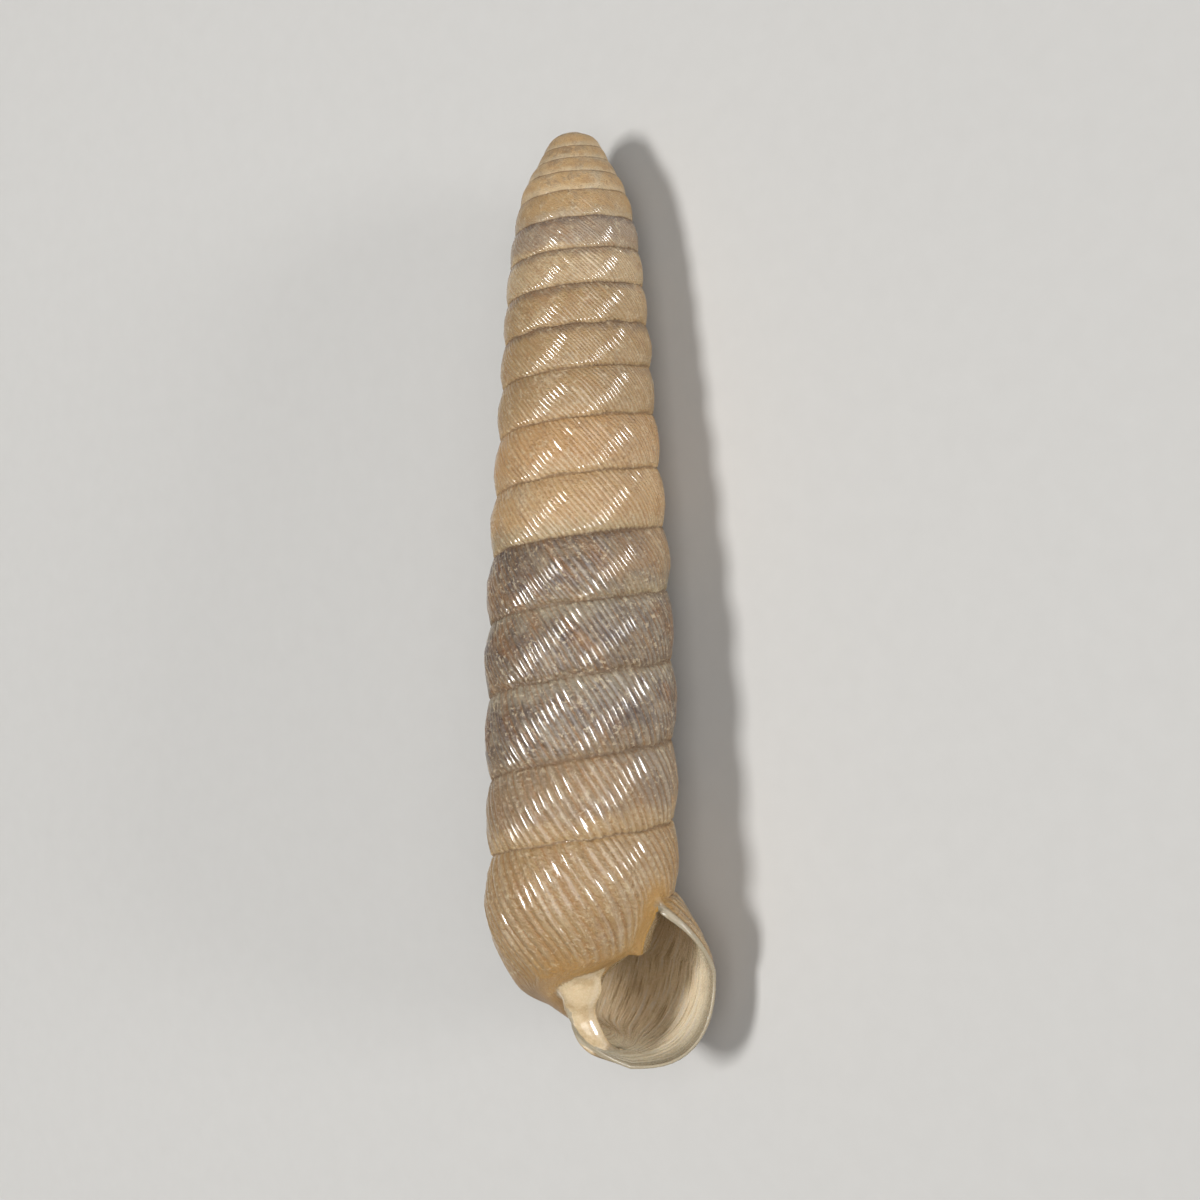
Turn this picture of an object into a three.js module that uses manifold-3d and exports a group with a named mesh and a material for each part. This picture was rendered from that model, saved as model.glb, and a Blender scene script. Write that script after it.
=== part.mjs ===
// A tall, many-whorled land snail shell lying at rest on its side with its mouth up, in
// millimetres. It grew as one piece, so it is one closed body: a wall coiled round an axis from
// the blunt tip down, with the last whorl hollow behind its flared lip.
//
// A place on the shell is a turn (how far round the coil, 0 at the tip), a radius from the
// coiling axis and a depth below the tip. The outside is a grid of growth lines. Each growth
// line runs down the side of its whorl from one seam to the next, and on the last whorl it goes
// on under the base to the columella, the pillar in the middle of the coil.
import * as THREE from 'three';
import { mergeVertices } from 'three/addons/utils/BufferGeometryUtils.js';
import Module from 'manifold-3d';

const { clamp, degToRad, lerp, smoothstep } = THREE.MathUtils;

// The seam between whorls: [turn, depth below the tip, radius from the axis].
const SEAM = [
  [0, 0, 0],
  [0.6, 0.32, 0.83],
  [1.2, 0.8, 1.2],
  [2.2, 1.37, 1.48],
  [4.2, 2.88, 2.21],
  [6.2, 5.39, 2.67],
  [8.2, 8.59, 2.96],
  [10.2, 12.47, 3.19],
  [12.2, 17.32, 3.52],
  [14.2, 23.03, 3.76],
  [16.2, 29.79, 3.75],
  [17.2, 32.87, 3.77],
  [18.2, 36.18, 3.76],
  [19.2, 39.5, 3.76],
];
const LIP_TURN = 17.3; // where the lip joins the whorl above
const RIGHT_TURN = 0.2; // the part of a turn that faces right when the mouth faces the viewer
const SEAM_STEP = 0.01; // turns, for measuring which way the seam runs

// The side of a whorl swells out past its two seams, more from whorl to whorl.
const BULGE_PER_TURN = 0.02;
const BULGE_MOST = 0.28;
const BULGE_ROUNDNESS = 0.8; // under 1 makes the seam a narrow notch

// The last whorl opens into the lip. Pairs give a plain whorl and the finished lip.
const FLARE_START_TURN = 16.2;
const FLARE_POWER = 4.5;
const FLARE_RADIUS = 1.85;
const FLARE_SHAPE = 0.75;
const BASE_RISE = { plain: 0.88, lip: 0 }; // from the lower seam up to the base curve's centre
const BASE_CENTRE = { plain: 0, lip: 2.32 }; // radius of that centre
const BASE_DROP = { plain: 4.42, lip: 3.92 };
const BASE_POWER = { plain: 1.6, lip: 2.35 }; // 2 is an ellipse, less is more pointed
const BASE_END = { plain: 82, lip: 165 }; // degrees round the base curve
const BASE_INNER = 1.22; // half width of the lip's side next to the columella
const BASE_INNER_POWER = 2.5;
const COLUMELLA_SWING = { plain: 0.075, lip: 0.34 }; // turns a growth line gains on its way in
const SWING_FROM = { plain: 0.38, lip: 0.5 };
const SWING_TO = { plain: 0.64, lip: 1 };

// The hollow behind the lip. Its wall is thickest at the lip, in its top corner and on the
// columella, and one tooth stands on the wall that the whorl above makes.
const HOLLOW_TURNS = 0.8;
const WALL = 0.16;
const LIP_WALL = 0.34;
const CORNER_WALL = 0.36;
const CORNER_REACH = { lip: 0.3, callus: 0.12 }; // shares of the side and of the base
const COLUMELLA_WALL = 0.55;
const COLUMELLA_NARROWS = 8; // a power: only the last part of the base has the thick wall
const CALLUS = 0.14;
const TOOTH = { height: 0.34, place: 0.42, width: 0.08, risesIn: 0.03 };

// The lip's thick inner edge, a ribbon that climbs the columella to the base of the whorl
// above: [to the right, depth, toward the viewer, half width, half thickness].
const RIBBON = [
  [0.02, 35.75, 1.62, 0.78, 0.3],
  [-0.08, 36.2, 1.45, 0.88, 0.38],
  [-0.14, 36.75, 1.22, 0.93, 0.42],
  [-0.15, 37.2, 1.05, 0.82, 0.42],
  [-0.1, 37.65, 0.95, 0.6, 0.38],
  [-0.03, 38.1, 0.92, 0.58, 0.34],
  [0.08, 38.5, 0.95, 0.6, 0.3],
  [0.3, 38.9, 0.94, 0.58, 0.25],
  [0.62, 39.22, 0.84, 0.5, 0.2],
  [0.98, 39.46, 0.66, 0.4, 0.14],
  [1.36, 39.62, 0.4, 0.3, 0.1],
];
const RIBBON_STEPS = 14;
const RIBBON_SIDES = 10;

// Facets.
const LINES_PER_TURN = 24;
const LINES_SLANTED = 2; // lines that a growth line falls back between its two seams
const SIDE_STEPS = 4; // even, so that one row follows the widest part of every whorl
const BASE_STEPS = 10;
const BOTTOM = SIDE_STEPS + BASE_STEPS;
const MOUTH_RINGS = [
  { inward: -0.004, thickness: 0.35 },
  { inward: -0.004, thickness: 0.75 },
  { inward: 0.006, thickness: 1 },
  { inward: 0.03, thickness: 0.9 },
  { inward: 0.07, thickness: 0.7 },
];
const DEEP_RINGS = 18;

// How the loose shell lies: on its back, rolled toward its heavy lip, tip slightly down.
const REST_ROLL = degToRad(40.47);
const REST_PITCH = degToRad(-3.18);

const SHELL_COLOUR = 0xb59a78;
const SHELL_ROUGHNESS = 0.4;

const slant = LINES_SLANTED / LINES_PER_TURN;
const lastLine = Math.round(LIP_TURN * LINES_PER_TURN);
const linesBetweenSeams = LINES_PER_TURN - LINES_SLANTED;
const parietalLine = lastLine - linesBetweenSeams; // the last whorl's first open line
const mix = (pair, flare) => lerp(pair.plain, pair.lip, flare);
const bump = (distance, width) => Math.exp(-((distance / width) ** 2));

// A smooth curve through the seam's stations.
function seamAt(turn) {
  const last = SEAM.length - 1;
  let i = 0;
  while (i < last - 1 && SEAM[i + 1][0] < turn) i += 1;
  const [a, b] = [SEAM[i], SEAM[i + 1]];
  const before = SEAM[Math.max(i - 1, 0)];
  const after = SEAM[Math.min(i + 2, last)];
  const span = b[0] - a[0];
  const x = (turn - a[0]) / span;
  const [x2, x3] = [x * x, x * x * x];
  const curve = (k) => {
    const slopeA = (b[k] - before[k]) / (b[0] - before[0]) * span;
    const slopeB = (after[k] - a[k]) / (after[0] - a[0]) * span;
    return (2 * x3 - 3 * x2 + 1) * a[k] + (x3 - 2 * x2 + x) * slopeA
      + (3 * x2 - 2 * x3) * b[k] + (x3 - x2) * slopeB;
  };
  return { depth: curve(1), radius: curve(2) };
}

function flareAt(turn) {
  return clamp((turn - FLARE_START_TURN) / (LIP_TURN - FLARE_START_TURN), 0, 1) ** FLARE_POWER;
}

// The side of a whorl: across is 0 at its upper seam and 1 at its lower one.
function sidePoint(turn, across, flare) {
  const at = lerp(Math.max(turn, 0), turn + 1, across);
  const seam = seamAt(at);
  const next = seamAt(at + SEAM_STEP);
  const out = new THREE.Vector2(next.depth - seam.depth, seam.radius - next.radius).normalize();
  const bulge = Math.min(BULGE_PER_TURN * Math.max(turn, 1), BULGE_MOST);
  const swell = bulge * Math.sin(Math.PI * across) ** BULGE_ROUNDNESS;
  return {
    radius: seam.radius + out.x * swell + FLARE_RADIUS * flare * across ** FLARE_SHAPE,
    depth: seam.depth + out.y * swell,
  };
}

// The base of the last whorl: along is 0 at its lower seam and 1 at the columella.
function basePoint(turn, along, flare) {
  const top = sidePoint(turn, 1, flare);
  const power = 2 / mix(BASE_POWER, flare);
  const drop = mix(BASE_DROP, flare);
  const rise = mix(BASE_RISE, flare);
  const centre = mix(BASE_CENTRE, flare);
  const first = Math.asin((rise / drop) ** (1 / power));
  const angle = lerp(first, degToRad(mix(BASE_END, flare)), along);
  const reach = (top.radius - centre) / Math.cos(first) ** power;
  const side = Math.cos(angle);
  const out = side >= 0
    ? reach * side ** power
    : -BASE_INNER * (1 - (1 + side) ** BASE_INNER_POWER);
  return { radius: centre + out, depth: top.depth - rise + drop * Math.sin(angle) ** power };
}

// A point of the growth line that starts at `turn`, on grid row `row`.
function wallPoint(turn, row) {
  const flare = flareAt(turn);
  if (row <= SIDE_STEPS) {
    const across = row / SIDE_STEPS;
    const local = turn - slant * across;
    return { turn: local, ...sidePoint(local, across, flare) };
  }
  const along = (row - SIDE_STEPS) / BASE_STEPS;
  const local = turn - slant;
  const reached = smoothstep(along, mix(SWING_FROM, flare), mix(SWING_TO, flare));
  const swing = mix(COLUMELLA_SWING, flare) * reached;
  return { turn: local + swing, ...basePoint(local, along, flare) };
}

function middleOf(points) {
  const mean = (key) => points.reduce((sum, point) => sum + point[key], 0) / points.length;
  return { turn: mean('turn'), radius: mean('radius'), depth: mean('depth') };
}

// Points and faces of a mesh whose neighbours share their vertices.
class MeshBuilder {
  positions = [];

  indices = [];

  vertex(x, y, z) {
    this.positions.push(x, y, z);
    return this.positions.length / 3 - 1;
  }

  shellVertex({ turn, radius, depth }) {
    const angle = 2 * Math.PI * (turn - RIGHT_TURN);
    return this.vertex(radius * Math.cos(angle), -depth, radius * Math.sin(angle));
  }

  triangle(a, b, c) {
    if (a !== b && b !== c && a !== c) this.indices.push(a, b, c);
  }

  // Joins two rows of vertices, `here` and `there`, side by side.
  strip(here, there) {
    for (let i = 0; i + 1 < Math.min(here.length, there.length); i += 1) {
      this.triangle(here[i], there[i + 1], here[i + 1]);
      this.triangle(here[i], there[i], there[i + 1]);
    }
  }

  geometry() {
    const geometry = new THREE.BufferGeometry();
    geometry.setAttribute('position', new THREE.Float32BufferAttribute(this.positions, 3));
    geometry.setIndex(this.indices);
    return geometry;
  }
}

// The outside wall: growth lines whose lower ends are the next whorl's upper ends.
function buildOutside(mesh) {
  const firstLine = -linesBetweenSeams;
  const tip = mesh.shellVertex({ turn: 0, radius: 0, depth: 0 });
  const lines = new Map();
  for (let line = firstLine; line <= lastLine; line += 1) {
    const rows = line >= parietalLine ? BOTTOM : SIDE_STEPS;
    const above = lines.get(line - linesBetweenSeams);
    const column = [above && line > 0 ? above[SIDE_STEPS] : tip];
    for (let row = 1; row <= rows; row += 1) {
      const point = wallPoint(line / LINES_PER_TURN, row);
      column.push(line === firstLine ? tip : mesh.shellVertex(point));
    }
    lines.set(line, column);
    if (line > firstLine) mesh.strip(lines.get(line - 1), column);
  }
  return lines;
}

// One ring of the hollow, `inward` turns behind the lip, set in from the wall.
function hollowRing(rim, inward, thickness, wall) {
  const lipTurn = lastLine / LINES_PER_TURN - inward;
  const parietalTurn = parietalLine / LINES_PER_TURN - Math.max(inward, 0);
  const loop = rim.map(({ side, row }) => wallPoint(side === 'lip' ? lipTurn : parietalTurn, row));
  const heart = rim.findIndex(({ side }) => side === 'heart');
  const beside = middleOf([loop[heart - 1], loop[heart + 1]]);
  loop[heart] = { ...beside, radius: 0 };
  const centre = middleOf(loop);
  return loop.map((point, i) => {
    const { side, row } = rim[i];
    const along = side === 'heart' ? 1 : clamp((row - SIDE_STEPS) / BASE_STEPS, 0, 1);
    const nearColumella = along ** COLUMELLA_NARROWS;
    let inset;
    if (side === 'lip') {
      inset = lerp(wall * thickness, COLUMELLA_WALL * thickness, nearColumella);
      inset += (CORNER_WALL - wall) * thickness * bump(row / SIDE_STEPS, CORNER_REACH.lip);
    } else {
      const tooth = TOOTH.height * bump(along - TOOTH.place, TOOTH.width);
      inset = lerp(CALLUS, COLUMELLA_WALL, nearColumella) * thickness;
      inset += CORNER_WALL * thickness * bump(along, CORNER_REACH.callus);
      inset += tooth * clamp(inward / TOOTH.risesIn, 0, 1);
    }
    const away = Math.hypot(point.radius - centre.radius, point.depth - centre.depth);
    const keep = 1 - inset / away;
    return {
      turn: point.turn,
      radius: lerp(centre.radius, point.radius, keep),
      depth: lerp(centre.depth, point.depth, keep),
    };
  });
}

function buildShell() {
  const mesh = new MeshBuilder();
  const lines = buildOutside(mesh);
  const [parietal, lip] = [lines.get(parietalLine), lines.get(lastLine)];

  // The growth lines of the base end in a small disc round the foot of the columella.
  const ends = [parietalLine, lastLine].map((line) => wallPoint(line / LINES_PER_TURN, BOTTOM));
  const heart = mesh.shellVertex({ ...middleOf(ends), radius: 0 });
  for (let line = parietalLine; line < lastLine; line += 1) {
    mesh.triangle(lines.get(line)[BOTTOM], lines.get(line + 1)[BOTTOM], heart);
  }

  // The mouth's rim, and the rings that follow the coil inward from it.
  const rim = [];
  for (let row = SIDE_STEPS; row <= BOTTOM; row += 1) rim.push({ side: 'parietal', row });
  rim.push({ side: 'heart', row: BOTTOM });
  for (let row = BOTTOM; row > 0; row -= 1) rim.push({ side: 'lip', row });
  const onRim = { parietal: (row) => parietal[row], heart: () => heart, lip: (row) => lip[row] };
  let ring = rim.map(({ side, row }) => onRim[side](row));
  const close = (loop) => [...loop, loop[0]];
  const addRing = (points) => {
    const next = points.map((point) => mesh.shellVertex(point));
    mesh.strip(close(next), close(ring));
    ring = next;
  };
  for (const { inward, thickness } of MOUTH_RINGS) {
    addRing(hollowRing(rim, inward, thickness, LIP_WALL));
  }
  const first = MOUTH_RINGS.at(-1).inward;
  let deepest;
  for (let i = 1; i <= DEEP_RINGS; i += 1) {
    deepest = hollowRing(rim, lerp(first, HOLLOW_TURNS, i / DEEP_RINGS), 1, WALL);
    addRing(deepest);
  }
  const turn = lastLine / LINES_PER_TURN - HOLLOW_TURNS;
  const back = mesh.shellVertex({ ...middleOf(deepest), turn });
  close(ring).forEach((corner, i, all) => {
    if (i > 0) mesh.triangle(all[i - 1], corner, back);
  });
  return mesh.geometry();
}

function buildRibbon() {
  const mesh = new MeshBuilder();
  const route = RIBBON.map(([x, depth, z]) => new THREE.Vector3(x, -depth, z));
  const sizes = RIBBON.map(([, , , wide, thick]) => new THREE.Vector3(wide, thick, 0));
  const middle = new THREE.CatmullRomCurve3(route);
  const size = new THREE.CatmullRomCurve3(sizes);
  const toViewer = new THREE.Vector3(0, 0, 1);
  const [first, last] = [0, 1].map((end) => mesh.vertex(...middle.getPoint(end)));
  let ring;
  for (let i = 0; i <= RIBBON_STEPS; i += 1) {
    const centre = middle.getPoint(i / RIBBON_STEPS);
    const half = size.getPoint(i / RIBBON_STEPS);
    const run = middle.getTangent(i / RIBBON_STEPS);
    const across = toViewer.clone().cross(run).normalize();
    const out = run.clone().cross(across);
    const next = [];
    for (let k = 0; k < RIBBON_SIDES; k += 1) {
      const angle = 2 * Math.PI * k / RIBBON_SIDES;
      const point = centre.clone()
        .addScaledVector(across, half.x * Math.cos(angle))
        .addScaledVector(out, half.y * Math.sin(angle));
      next.push(mesh.vertex(...point));
    }
    next.push(next[0]);
    if (ring) mesh.strip(next, ring);
    const cap = { 0: first, [RIBBON_STEPS]: last }[i];
    for (let k = 0; cap !== undefined && k < RIBBON_SIDES; k += 1) {
      if (i === 0) mesh.triangle(cap, next[k + 1], next[k]);
      else mesh.triangle(cap, next[k], next[k + 1]);
    }
    ring = next;
  }
  return mesh.geometry();
}

const wasm = await Module();
wasm.setup();

function toSolid(geometry) {
  const merged = mergeVertices(geometry, 1e-6);
  return new wasm.Manifold(new wasm.Mesh({
    numProp: 3,
    vertProperties: merged.attributes.position.array,
    triVerts: new Uint32Array(merged.index.array),
  }));
}

function toGeometry(solid) {
  const { vertProperties, triVerts } = solid.getMesh();
  const geometry = new THREE.BufferGeometry();
  geometry.setAttribute('position', new THREE.BufferAttribute(vertProperties, 3));
  geometry.setIndex(new THREE.BufferAttribute(triVerts, 1));
  return geometry;
}

const geometry = toGeometry(toSolid(buildShell()).add(toSolid(buildRibbon())));
geometry.computeVertexNormals();
const material = new THREE.MeshStandardMaterial({
  color: SHELL_COLOUR,
  roughness: SHELL_ROUGHNESS,
  metalness: 0,
});
const shell = new THREE.Mesh(geometry, material);
shell.name = 'shell';
shell.rotation.set(REST_PITCH, REST_ROLL, 0);

// The origin is on the surface it lies on, under the middle of its box.
const box = new THREE.Box3().setFromObject(shell, true);
const middle = box.getCenter(new THREE.Vector3());
shell.position.set(-middle.x, -middle.y, -box.min.z);

const landSnailShell = new THREE.Group();
landSnailShell.add(shell);

export default landSnailShell;
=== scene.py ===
"""A tall, ribbed land snail shell lying at rest with its mouth up.

Until a mesh is made, lengths are millimetres in the shell's own frame: the tip is at the origin,
the coil runs down along -Y, +X is right and +Z is toward whoever looks into the mouth. A place on
the shell is a turn (how far round the coil), a radius from the coiling axis and a depth below the
tip. A growth line is the shell's edge as it once was. It runs down the side of its whorl from
one seam to the next, and on the last whorl on under the base to the columella. Growth coordinates
are a turn and a height: 0 to 1 down the side of a whorl, 1 to 2 under the base and 3 to 4 round
the inside.
"""

import math

import bmesh
import bpy
import numpy as np
from mathutils import Matrix, Vector
from mathutils.kdtree import KDTree


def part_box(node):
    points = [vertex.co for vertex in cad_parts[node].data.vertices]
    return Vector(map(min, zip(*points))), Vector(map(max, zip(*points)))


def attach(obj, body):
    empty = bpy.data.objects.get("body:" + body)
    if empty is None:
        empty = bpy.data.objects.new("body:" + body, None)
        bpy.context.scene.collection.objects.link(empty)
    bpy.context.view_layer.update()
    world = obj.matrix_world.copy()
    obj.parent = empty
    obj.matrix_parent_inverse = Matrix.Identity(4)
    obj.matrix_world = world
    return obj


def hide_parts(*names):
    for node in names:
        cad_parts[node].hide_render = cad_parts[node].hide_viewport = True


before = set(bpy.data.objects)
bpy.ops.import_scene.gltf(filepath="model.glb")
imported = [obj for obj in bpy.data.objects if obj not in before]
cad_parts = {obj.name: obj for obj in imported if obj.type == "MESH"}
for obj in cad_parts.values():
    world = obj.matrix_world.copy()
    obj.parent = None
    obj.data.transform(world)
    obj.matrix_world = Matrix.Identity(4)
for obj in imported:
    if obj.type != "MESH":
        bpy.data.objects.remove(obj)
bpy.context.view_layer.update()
low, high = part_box("shell")

MM = 0.001

# The seam between whorls: turn, depth below the tip, radius from the axis.
SEAM = np.array([
    (0, 0, 0),
    (0.6, 0.32, 0.83),
    (1.2, 0.8, 1.2),
    (2.2, 1.37, 1.48),
    (4.2, 2.88, 2.21),
    (6.2, 5.39, 2.67),
    (8.2, 8.59, 2.96),
    (10.2, 12.47, 3.19),
    (12.2, 17.32, 3.52),
    (14.2, 23.03, 3.76),
    (16.2, 29.79, 3.75),
    (17.2, 32.87, 3.77),
    (18.2, 36.18, 3.76),
    (19.2, 39.5, 3.76),
])
LIP_TURN = 17.3
RIGHT_TURN = 0.2  # the part of a turn that faces +X
SEAM_STEP = 0.01
LEAST_LENGTH = 1e-9

# The side of a whorl swells out past its two seams, and each seam is a narrow groove.
BULGE_PER_TURN = 0.02
BULGE_MOST = 0.28
BULGE_ROUNDNESS = 0.8
GROOVE_DEPTH = (0.021, 0.06)  # at the tip, and on full-grown whorls
GROOVE_WIDTH = 0.013

# The last whorl opens into the lip. Pairs give a plain whorl and the finished lip.
FLARE_START_TURN = 16.2
FLARE_POWER = 4.5
FLARE_RADIUS = 1.85
FLARE_SHAPE = 0.75
BASE_RISE = (0.88, 0)
BASE_CENTRE = (0, 2.32)
BASE_DROP = (4.42, 3.92)
BASE_POWER = (1.6, 2.35)
BASE_END = (82, 165)
BASE_INNER = 1.22
BASE_INNER_POWER = 2.5
COLUMELLA_SWING = (0.075, 0.34)
SWING_FROM = (0.38, 0.5)
SWING_TO = (0.64, 1)
BASE_LEAN = 0.055  # turns that lines between the mouth's edges fall back further on the base
BASE_LEAN_REACH = 0.65
BASE_LEAN_TURNS = (16.32, 16.5, 16.95, 17.2)

# The hollow behind the lip.
HOLLOW_TURNS = 0.8
WALL = 0.16
LIP_EDGE = 0.15
LIP_WALL = 0.34
LIP_THICKENS_IN = 0.05
LIP_THINS_IN = 0.2
HOLLOW_SPREAD = 1.4  # rings of the hollow lie closer together near the lip
COLUMELLA_SHARPNESS = 8  # how suddenly the wall thickens beside the columella
HEART_BACK = (0.5, 0, 0)  # the heart of the coil faces half a turn back
LIP_ROUNDING = 0.004  # turns that the lip's rounded edge stands forward
CORNER_WALL = 0.36
CORNER_REACH = 0.12
CORNER_REACH_ON_LIP = 0.3
COLUMELLA_WALL = 0.55
CALLUS = 0.06
CALLUS_THICKNESS = (1, 0.8)  # share of its thickness at the mouth, and further in
TOOTH_HEIGHT = 0.46
TOOTH_PLACE = 0.385
TOOTH_WIDTH = 0.045
SWOLLEN = (0, 0.12, 0.8, 1)  # where along the mouth's inner edge the callus starts and ends
SWOLLEN_REACH = 0.5
CALLUS_ROLL = 0.012  # turns that the callus goes in while the lip's edge is rounded

# The lip's thick inner edge: right, depth, toward the viewer, half width, half thickness.
RIBBON = np.array([
    (0.02, 35.75, 1.62, 0.76, 0.32),
    (-0.08, 36.2, 1.45, 0.86, 0.46),
    (-0.14, 36.75, 1.22, 0.9, 0.52),
    (-0.15, 37.2, 1.05, 0.8, 0.52),
    (-0.1, 37.65, 0.95, 0.6, 0.46),
    (-0.03, 38.1, 0.92, 0.58, 0.4),
    (0.08, 38.5, 0.95, 0.6, 0.33),
    (0.3, 38.9, 0.94, 0.58, 0.27),
    (0.62, 39.22, 0.84, 0.5, 0.2),
    (0.98, 39.46, 0.66, 0.4, 0.14),
    (1.36, 39.62, 0.4, 0.3, 0.1),
])
RIBBON_STEPS = 64
RIBBON_SIDES = 32
RIBBON_TAIL = (0.7, 1)  # the part of the ribbon that runs out along the lip
RIBBON_HIDDEN = -0.3  # the sine below which the ribbon's section looks away from the mouth

# Growth heights: where parts of the skin start, and at the ribbon's tail.
BASE_HEIGHT = 1
COLUMELLA_HEIGHT = 2
RIBBON_TAIL_HEIGHT = 1.4
INSIDE_HEIGHT = 3

# Numbers stored on the ribbon: on its open face, and behind it.
RIBBON_NUMBERS = {"lip": (0.3, -1), "callus": (0, 1.2), "crest": (0, 0), "open_side": (1, 1)}

# The corners where the ribbon joins on, and where the lip meets the whorl, are smoothed.
CREASE_ANGLE = math.radians(28)
JOINT_HALF_WIDTH = 1.6
JOINT_REACH = 0.4
CORNER_SOFT_REACH = 0.45
SOFTEN_PASSES = 30
SOFTEN_SHARE = 0.6

# Growth lines lean back by this many turns on their way down, less on the last whorls.
SLANT = (0.084, 0.0714)
SLANT_CHANGES = (12.5, 15.5)

# Ribs stand along the growth lines. A rib's width is counted in growth lines.
RIB_TURNS = (4, 9, 13, 14.5, 15.5, 16.5, 17.3)
RIB_WIDTHS = (4.2, 4.3, 4.5, 5.4, 6, 7.2, 8.2)
RIB_HEIGHTS = (0.035, 0.056, 0.076, 0.088, 0.096, 0.1, 0.1)
RIB_SPREAD = (0.17, 0.3)  # how uneven the ribs are, before and after the last whorl starts
RIB_LINES_LEAST = 3
RIB_CREST = (0.5, 1)  # the lowest and the highest crest
RIB_SHARPNESS = 1.3
RIBS_START = (3.2, 5.6)
RIBS_END_ON_BASE = (1.05, 1.75)
RIBS_END_BY_MOUTH = (0.385, 1.1)  # distance from the mouth's inner edge

SEED = 17

# Ripples: how strong, waves per turn, waves down a growth line, how many are added up.
WEAR_RIPPLES = ((0.16, 5, 2.2, 7), (0.2, 40, 4, 12))
SWAY_RIPPLES = (0.004, 9, 0.4, 7)
UNEVEN_RIPPLES = (0.014, 7, 1.1, 7)
SEAM_RIPPLES = (1, 12, 0, 7)
RIPPLE_LEAST = 0.35
RIPPLE_HEIGHT = 0.6
WEAR = 0.85  # how much is left of a rib, before the ripples
WEAR_LIMITS = (0.5, 1.15)
STEADY_TURNS = 0.2  # growth lines don't sway this close to the mouth
GROWN_TURNS = (0, 9)  # seams and unevenness grow stronger between these turns
SEAM_RAGGED = 0.05
RAGGED_REACH = 0.06
LAST_SEAM_FADE = 0.04  # turns over which the last seam runs out at the mouth
OPEN_SIDE_FADE = 0.1

LINES_BETWEEN_SEAMS = 371
ACROSS = np.array([0, 0.018, 0.055, 0.13, 0.24, 0.37, 0.51, 0.65, 0.78, 0.89, 0.96, 1])
ALONG = np.linspace(0, 1, 25)
SIDE_ROWS = len(ACROSS)
HEIGHTS = np.concatenate([ACROSS, BASE_HEIGHT + ALONG[1:]])
LIP_EDGE_RINGS = 7
HOLLOW_RINGS = 52

# How the shell lies: rolled toward its heavy lip, tip slightly down.
REST_ROLL = math.radians(40.47)
REST_PITCH = math.radians(-3.18)

# The view, in the shell's frame: onto the side with the mouth, a little from the mouth's end.
TARGET = Vector((0, -20.42, 0))
TILT = math.radians(4.6)
LEAN = math.radians(0.72)
DISTANCE = 98.7
ASIDE = 0.873
LENS = 69.21

# The room, in metres.
NEAREST_SEEN = 0.005
FLOOR_HALF = 3
ROOM_GLOW = 0.12

# Lamps: azimuth, elevation, distance, size along the shell and across it, power in watts.
LAMPS = {
    "left_lamp": (180, 76, 0.4, (0.1, 0.07), 1.25),
    "right_lamp": (0, 10, 1.2, (0.3, 0.21), 8.55),
    "front_softbox": (0, 54, 0.5, (0.4, 0.4), 1.0),
}


def mix(pair, share):
    """The value at a share of the way through a pair."""
    return pair[0] + (pair[1] - pair[0]) * share


def smooth_step(value, start, end):
    x = np.clip((value - start) / (end - start), 0, 1)
    return x * x * (3 - 2 * x)


def hump(value, limits):
    """0 outside four limits and 1 between the middle two."""
    return smooth_step(value, *limits[:2]) * (1 - smooth_step(value, *limits[2:]))


def hill(distance, width):
    """1 where distance is 0, and hardly anything from twice the width on."""
    return np.exp(-(distance / width) ** 2)


def curve(x, start, end, leaving, arriving):
    """A smooth curve from start to end for x from 0 to 1, with its slopes at both."""
    return (
        (2 * x**3 - 3 * x**2 + 1) * start + (x**3 - 2 * x**2 + x) * leaving
        + (3 * x**2 - 2 * x**3) * end + (x**3 - x**2) * arriving
    )


def smooth_through(stations, values, places):
    """Values at places on a smooth curve through evenly spaced stations."""
    step = stations[1] - stations[0]
    slopes = np.gradient(values, step) * step
    i = np.clip((places / step).astype(int), 0, len(stations) - 2)
    return curve(places / step - i, values[i], values[i + 1], slopes[i], slopes[i + 1])


def seam_at(turn):
    """Depth and radius of the seam, on a smooth curve through its stations."""
    turn = np.asarray(turn, float)
    last = len(SEAM) - 1
    i = np.clip(np.searchsorted(SEAM[:, 0], turn) - 1, 0, last - 1)
    a, b = SEAM[i], SEAM[i + 1]
    before, after = SEAM[np.maximum(i - 1, 0)], SEAM[np.minimum(i + 2, last)]
    span = (b - a)[..., :1]
    x = (turn[..., None] - a[..., :1]) / span
    leaving = (b - before) / (b - before)[..., :1] * span
    arriving = (after - a) / (after - a)[..., :1] * span
    at = curve(x, a, b, leaving, arriving)
    return at[..., 1], at[..., 2]


def flare_at(turn):
    return np.clip((turn - FLARE_START_TURN) / (LIP_TURN - FLARE_START_TURN), 0, 1) ** FLARE_POWER


def slant_at(turn):
    return mix(SLANT, smooth_step(turn, *SLANT_CHANGES))


def side_profile(turn, across, flare):
    """Radius and depth on the side of a whorl: across is 0 at its upper seam, 1 at its lower."""
    upper = np.maximum(turn, 0)
    at = upper + (turn + 1 - upper) * across
    depth, radius = seam_at(at)
    next_depth, next_radius = seam_at(at + SEAM_STEP)
    length = np.hypot(next_depth - depth, radius - next_radius)
    bulge = np.minimum(BULGE_PER_TURN * np.maximum(turn, 1), BULGE_MOST)
    swell = bulge * np.sin(np.pi * across) ** BULGE_ROUNDNESS
    radius_out = (next_depth - depth) / length * swell
    depth_out = (radius - next_radius) / length * swell
    return radius + radius_out + FLARE_RADIUS * flare * across**FLARE_SHAPE, depth + depth_out


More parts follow.
